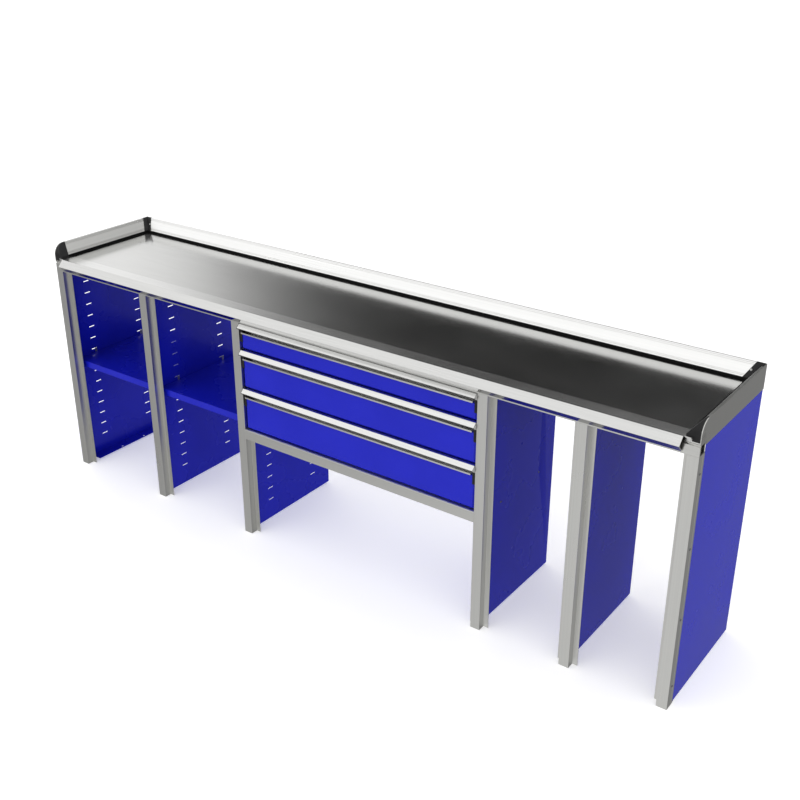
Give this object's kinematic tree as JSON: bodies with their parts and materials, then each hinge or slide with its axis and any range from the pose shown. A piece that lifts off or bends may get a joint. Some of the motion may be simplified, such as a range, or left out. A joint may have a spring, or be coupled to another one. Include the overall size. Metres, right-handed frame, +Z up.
{
  "type": "workbench with drawers",
  "caption": "Long workbench with a steel worktop and upstands on three sides, drawers under the middle, shelved bays at one end and open bays at the other.",
  "frame": {"origin": "on the floor, under the middle of the bench's overall box", "axes": "+X along the bench to the right seen from the drawers' side, +Y to the back, +Z up"},
  "size_m": [3.0432, 0.584, 1.101],
  "materials": {
    "upright_aluminium": "satin anodised",
    "rail_aluminium": "satin anodised",
    "upstand_aluminium": "satin anodised",
    "plate_aluminium": "satin anodised",
    "handle_aluminium": "satin anodised",
    "latch_aluminium": "satin anodised",
    "panel_paint": "powder coat, semi-gloss",
    "shelf_paint": "powder coat, semi-gloss",
    "front_paint": "powder coat, semi-gloss",
    "box_paint": "powder coat, semi-gloss",
    "tray_steel": "brushed stainless",
    "board_wood": "raw board",
    "seal_rubber": "matt",
    "cap_plastic": "fine grain",
    "handle_plastic": "fine grain",
    "clip_steel": "zinc plated",
    "carrier_steel": "galvanised",
    "runner_steel": "zinc plated",
    "screw_steel": "zinc plated"
  },
  "bodies": {
    "frame": {"upright_1": "upright_aluminium", "upright_2": "upright_aluminium", "upright_3": "upright_aluminium", "upright_4": "upright_aluminium", "upright_5": "upright_aluminium", "upright_6": "upright_aluminium", "side_panel_1": "panel_paint", "side_panel_2": "panel_paint", "side_panel_3": "panel_paint", "side_panel_4": "panel_paint", "side_panel_5": "panel_paint", "side_panel_6": "panel_paint", "front_top_rail": "rail_aluminium", "rear_top_rail": "rail_aluminium", "drawer_bottom_rail": "rail_aluminium", "worktop_board": "board_wood", "worktop_tray": "tray_steel", "tray_seal": "seal_rubber", "upstand_back": "upstand_aluminium", "upstand_left": "upstand_aluminium", "corner_block_left": "cap_plastic", "end_cap_left": "cap_plastic", "side_plate_left": "plate_aluminium", "upstand_right": "upstand_aluminium", "corner_block_right": "cap_plastic", "end_cap_right": "cap_plastic", "side_plate_right": "plate_aluminium", "shelf_1": "shelf_paint", "shelf_2": "shelf_paint", "shelf_clips": "clip_steel", "drawer_carrier_left": "carrier_steel", "drawer_carrier_right": "carrier_steel", "runner_outer_1": "runner_steel", "runner_outer_2": "runner_steel", "runner_outer_3": "runner_steel", "upright_screws": "screw_steel", "carrier_screws": "screw_steel", "corner_screws": "screw_steel"},
    "drawer_1": {"drawer_front_1": "front_paint", "drawer_box_1": "box_paint", "drawer_handle_1": "handle_aluminium", "handle_ends_1": "handle_plastic", "runner_inner_1": "runner_steel"},
    "runner_pair_1": {"runner_middle_1": "runner_steel"},
    "latch_1": {"latch_bar_1": "latch_aluminium"},
    "drawer_2": {"drawer_front_2": "front_paint", "drawer_box_2": "box_paint", "drawer_handle_2": "handle_aluminium", "handle_ends_2": "handle_plastic", "runner_inner_2": "runner_steel"},
    "runner_pair_2": {"runner_middle_2": "runner_steel"},
    "latch_2": {"latch_bar_2": "latch_aluminium"},
    "drawer_3": {"drawer_front_3": "front_paint", "drawer_box_3": "box_paint", "drawer_handle_3": "handle_aluminium", "handle_ends_3": "handle_plastic", "runner_inner_3": "runner_steel"},
    "runner_pair_3": {"runner_middle_3": "runner_steel"},
    "latch_3": {"latch_bar_3": "latch_aluminium"}
  },
  "joints": [
    {"name": "drawer_1_slide", "type": "slide", "parent": "frame", "child": "drawer_1", "axis": [0, -1, 0], "range_m": [0, 0.4]},
    {"name": "runner_pair_1_slide", "type": "slide", "parent": "frame", "child": "runner_pair_1", "axis": [0, -1, 0], "range_m": [0, 0.2]},
    {"name": "latch_1_lift", "type": "slide", "parent": "drawer_1", "child": "latch_1", "axis": [0, 0, 1], "range_m": [0, 0.006], "stiffness_N_per_m": 400, "springref_m": -0.005},
    {"name": "drawer_2_slide", "type": "slide", "parent": "frame", "child": "drawer_2", "axis": [0, -1, 0], "range_m": [0, 0.4]},
    {"name": "runner_pair_2_slide", "type": "slide", "parent": "frame", "child": "runner_pair_2", "axis": [0, -1, 0], "range_m": [0, 0.2]},
    {"name": "latch_2_lift", "type": "slide", "parent": "drawer_2", "child": "latch_2", "axis": [0, 0, 1], "range_m": [0, 0.006], "stiffness_N_per_m": 400, "springref_m": -0.005},
    {"name": "drawer_3_slide", "type": "slide", "parent": "frame", "child": "drawer_3", "axis": [0, -1, 0], "range_m": [0, 0.4]},
    {"name": "runner_pair_3_slide", "type": "slide", "parent": "frame", "child": "runner_pair_3", "axis": [0, -1, 0], "range_m": [0, 0.2]},
    {"name": "latch_3_lift", "type": "slide", "parent": "drawer_3", "child": "latch_3", "axis": [0, 0, 1], "range_m": [0, 0.006], "stiffness_N_per_m": 400, "springref_m": -0.005}
  ],
  "couplings": [
    {"joint": "runner_pair_1_slide", "follows": "drawer_1_slide", "ratio": 0.5},
    {"joint": "runner_pair_2_slide", "follows": "drawer_2_slide", "ratio": 0.5},
    {"joint": "runner_pair_3_slide", "follows": "drawer_3_slide", "ratio": 0.5}
  ]
}
